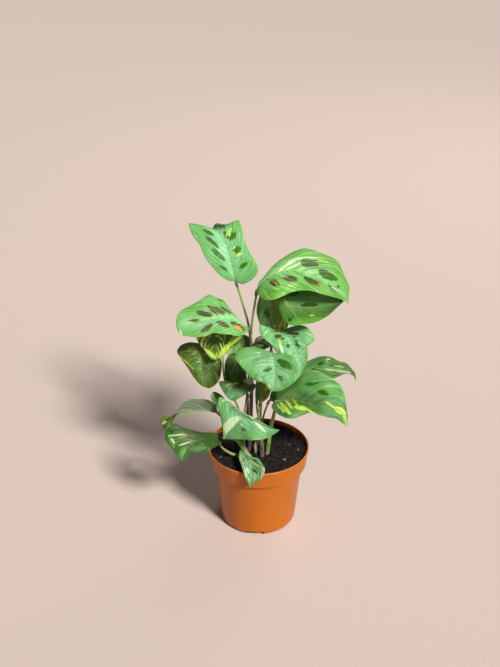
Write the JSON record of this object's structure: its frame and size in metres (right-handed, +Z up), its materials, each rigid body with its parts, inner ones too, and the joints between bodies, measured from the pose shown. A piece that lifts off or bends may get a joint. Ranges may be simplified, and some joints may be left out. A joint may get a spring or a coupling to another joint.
{
  "type": "potted prayer plant",
  "caption": "Potted prayer plant (maranta) with variegated oval leaves on slender petioles, standing in dark soil in a tapered plastic nursery pot with a deep collar.",
  "frame": {"origin": "centre of the flat pad in the middle of the pot's underside, on the surface the pot stands on", "axes": "+Z up along the pot's axis, towards the top leaf; -Y towards the viewer, so +X is the viewer's right; the leaves spread mostly along X"},
  "size_m": [0.2256, 0.1305, 0.3648],
  "materials": {
    "pot_plastic": "satin",
    "potting_soil": "matte",
    "stem": "satin",
    "leaf": "satin",
    "bark": "matte"
  },
  "bodies": {
    "root": {"pot": "pot_plastic", "soil": "potting_soil", "stem_centre": "stem", "stem_left_purple": "stem", "stem_left_olive": "stem", "stem_back": "stem", "stem_front_pink": "stem", "stem_right": "stem", "stem_low_left": "stem", "stem_low_thin": "stem", "stem_small_front": "stem", "stem_bud": "stem", "leaf_top_left": "leaf", "leaf_top_right": "leaf", "leaf_under_top": "leaf", "leaf_back_olive": "leaf", "leaf_back_mustard": "leaf", "leaf_middle_wavy": "leaf", "leaf_front_centre": "leaf", "leaf_left_blotched": "leaf", "leaf_left_yellow": "leaf", "leaf_left_inner": "leaf", "leaf_left_olive": "leaf", "leaf_left_dark": "leaf", "leaf_low_dark": "leaf", "leaf_small_oval": "leaf", "leaf_right_big": "leaf", "leaf_right_pointed": "leaf", "leaf_front_cream": "leaf", "leaf_curled_grey": "leaf", "leaf_low_left": "leaf", "leaf_front_small": "leaf", "leaf_low_olive": "leaf", "leaf_middle_grey": "leaf", "bark_1": "bark", "bark_2": "bark", "bark_3": "bark", "bark_4": "bark"}
  },
  "joints": []
}
